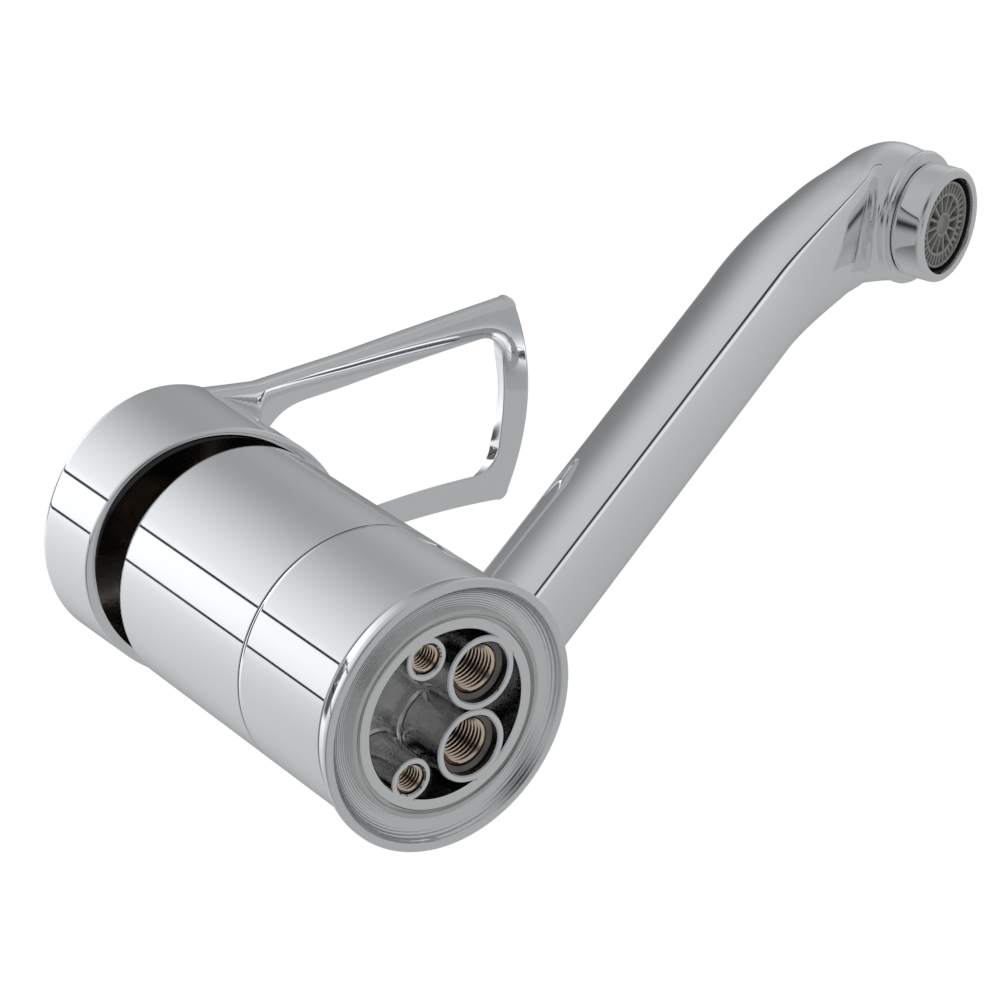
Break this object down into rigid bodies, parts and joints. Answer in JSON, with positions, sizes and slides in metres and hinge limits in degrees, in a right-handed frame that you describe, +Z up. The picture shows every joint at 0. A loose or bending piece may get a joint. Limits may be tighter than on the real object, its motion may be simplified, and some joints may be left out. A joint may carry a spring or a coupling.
{
  "type": "single-lever kitchen mixer tap",
  "caption": "Deck-mounted single-lever kitchen mixer with an open loop lever on a domed column and a long, rising spout that swivels at the foot and ends in an aerator.",
  "frame": {"origin": "centre of the foot on the worktop, on the column's axis, where the body stands over the tap hole", "axes": "+Z up along the column's axis; +X along the spout and the closed lever; +Y to the left of them"},
  "size_m": [0.2968, 0.053, 0.1812],
  "materials": {
    "brass": "turned",
    "ceramic": "lapped alumina ceramic",
    "chrome": "polished chrome plate",
    "dark_plastic": "moulded",
    "gloss_dark": "glossy moulded",
    "insert_plastic": "moulded grey acetal",
    "pale_plastic": "moulded acetal",
    "rubber": "moulded",
    "steel": "plain"
  },
  "bodies": {
    "column": {"body_casting": "chrome", "base_flange": "chrome", "snap_ring": "steel", "lower_bearing_ring": "pale_plastic", "upper_bearing_ring": "pale_plastic", "spout_seals": "rubber", "cartridge_base": "dark_plastic", "cartridge_seals": "rubber", "fixed_disc": "ceramic", "cartridge_shell": "dark_plastic", "stop_ring": "dark_plastic", "cartridge_nut": "brass", "dome_cover": "gloss_dark"},
    "turn_stage": {"rotor": "pale_plastic", "stem_pin": "steel"},
    "lever": {"lever_stem": "steel", "lever_handle": "chrome", "grub_screw": "steel", "index_plug": "gloss_dark"},
    "slide_stage": {"disc_carrier": "dark_plastic", "moving_disc": "ceramic"},
    "spout_arm": {"spout": "chrome", "aerator_housing": "chrome", "aerator_grille": "insert_plastic", "jet_plate": "pale_plastic", "aerator_screens": "steel", "aerator_washer": "rubber"}
  },
  "joints": [
    {"name": "spout_swivel", "type": "hinge", "parent": "column", "child": "spout_arm", "pos_m": [0, 0, 0.018], "axis": [0, 0, 1], "continuous": true},
    {"name": "lever_turn", "type": "hinge", "parent": "column", "child": "turn_stage", "pos_m": [0, 0, 0.068], "axis": [0, 0, 1], "range_deg": [-50, 50]},
    {"name": "lever_lift", "type": "hinge", "parent": "turn_stage", "child": "lever", "pos_m": [0, 0, 0.068], "axis": [0, -1, 0], "range_deg": [0, 25]},
    {"name": "disc_travel", "type": "slide", "parent": "turn_stage", "child": "slide_stage", "axis": [1, 0, 0], "range_m": [0, 0.0054]}
  ],
  "couplings": [
    {"joint": "disc_travel", "follows": "lever_lift", "m_per_rad": 0.0123}
  ]
}
